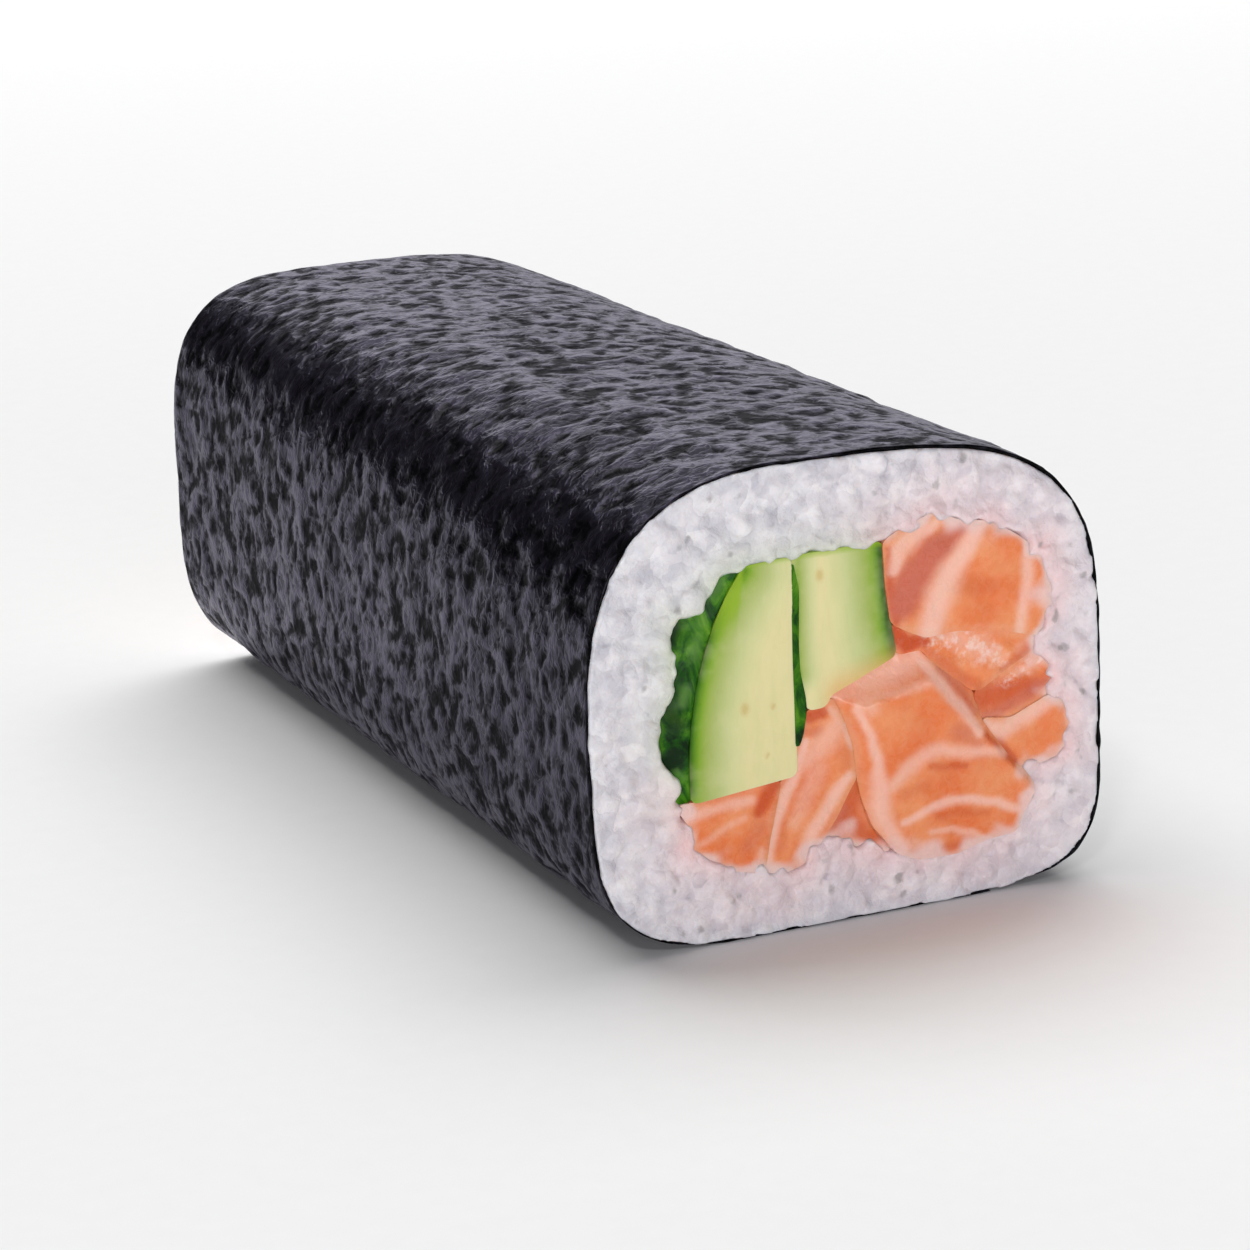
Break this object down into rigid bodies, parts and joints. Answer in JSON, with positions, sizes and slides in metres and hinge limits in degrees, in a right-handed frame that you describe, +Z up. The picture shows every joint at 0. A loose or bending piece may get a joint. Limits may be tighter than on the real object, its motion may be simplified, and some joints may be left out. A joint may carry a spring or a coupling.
{
  "type": "salmon hand roll",
  "caption": "Uncut log-shaped sushi hand roll lying on its seam: nori sheet round rice, with salmon and cucumber showing at both cut ends.",
  "frame": {"origin": "under the middle of the roll, on the surface it rests on", "axes": "+Z up, +Y along the roll away from the front cut, +X to the right as seen from the front cut"},
  "size_m": [0.048, 0.1062, 0.0404],
  "materials": {
    "nori": "dark fibrous pressed seaweed sheet, semi-gloss on its ridges",
    "rice": "moist translucent cooked grains",
    "cucumber_flesh": "wet pale green flesh, greener towards the skin",
    "cucumber_skin": "smooth dark green skin, mottled lighter",
    "salmon": "wet raw salmon with pale fat lines"
  },
  "bodies": {
    "root": {"nori_wrap": "nori", "rice": "rice", "cucumber_skin_side": "cucumber_skin", "cucumber_baton_left": "cucumber_flesh", "cucumber_peel": "cucumber_skin", "cucumber_baton_right": "cucumber_flesh", "salmon_upper_right": "salmon", "salmon_shining": "salmon", "salmon_dark_right": "salmon", "salmon_lower_right": "salmon", "salmon_centre_block": "salmon", "salmon_wedge": "salmon", "salmon_slab": "salmon", "salmon_lower_left": "salmon"}
  },
  "joints": []
}
